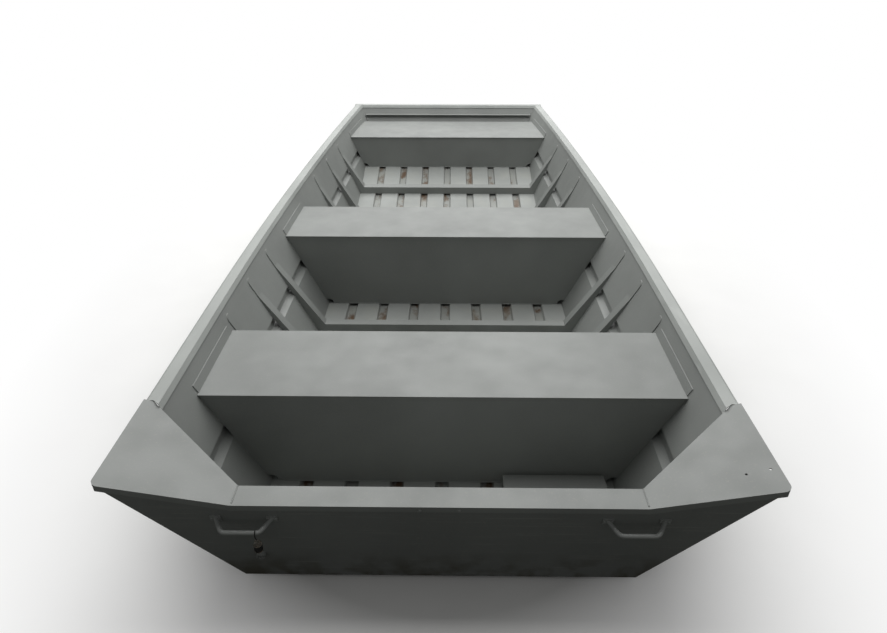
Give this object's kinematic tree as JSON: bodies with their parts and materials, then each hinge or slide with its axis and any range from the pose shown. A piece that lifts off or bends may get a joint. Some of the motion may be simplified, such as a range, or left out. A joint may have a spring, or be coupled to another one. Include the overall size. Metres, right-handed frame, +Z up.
{
  "type": "jon boat",
  "caption": "Open flat-bottomed aluminium jon boat with square raked ends, box bench seats, hat-section ribs, pressed strakes, low motor transom, grab handles and a drain plug on a cord.",
  "frame": {"origin": "centre of the boat's length and beam, on the surface its bottom strakes rest on", "axes": "+X to starboard, +Y forward to the bow, +Z up"},
  "size_m": [1.782, 4.1714, 0.502],
  "materials": {
    "hull_paint": "satin",
    "cord": "matte",
    "rubber": "matte",
    "steel": "satin"
  },
  "bodies": {
    "root": {"aft_seat_aft_panel": "hull_paint", "aft_seat_fore_panel": "hull_paint", "aft_seat_top": "hull_paint", "bow_cap": "hull_paint", "bow_eye": "hull_paint", "bow_plate": "hull_paint", "bow_seat_aft_panel": "hull_paint", "bow_seat_fore_panel": "hull_paint", "bow_seat_top": "hull_paint", "bow_stiffener": "hull_paint", "corner_plate_port": "hull_paint", "corner_plate_starboard": "hull_paint", "drain_tube": "hull_paint", "floor_rib_1": "hull_paint", "floor_rib_2": "hull_paint", "floor_rib_3": "hull_paint", "floor_rib_4": "hull_paint", "floor_rib_5": "hull_paint", "floor_rib_6": "hull_paint", "floor_tray": "hull_paint", "gunwale_port": "hull_paint", "gunwale_starboard": "hull_paint", "handle_port": "hull_paint", "handle_starboard": "hull_paint", "hull_bottom": "hull_paint", "hull_side_port": "hull_paint", "hull_side_starboard": "hull_paint", "middle_seat_aft_panel": "hull_paint", "middle_seat_fore_panel": "hull_paint", "middle_seat_top": "hull_paint", "plug_cord": "cord", "plug_rubber": "rubber", "plug_stem": "steel", "side_rib_port_1": "hull_paint", "side_rib_port_2": "hull_paint", "side_rib_port_3": "hull_paint", "side_rib_port_4": "hull_paint", "side_rib_port_5": "hull_paint", "side_rib_port_6": "hull_paint", "side_rib_starboard_1": "hull_paint", "side_rib_starboard_2": "hull_paint", "side_rib_starboard_3": "hull_paint", "side_rib_starboard_4": "hull_paint", "side_rib_starboard_5": "hull_paint", "side_rib_starboard_6": "hull_paint", "transom_box": "hull_paint", "transom_cap": "hull_paint", "transom_knee": "hull_paint", "transom_panel": "hull_paint"}
  },
  "joints": []
}
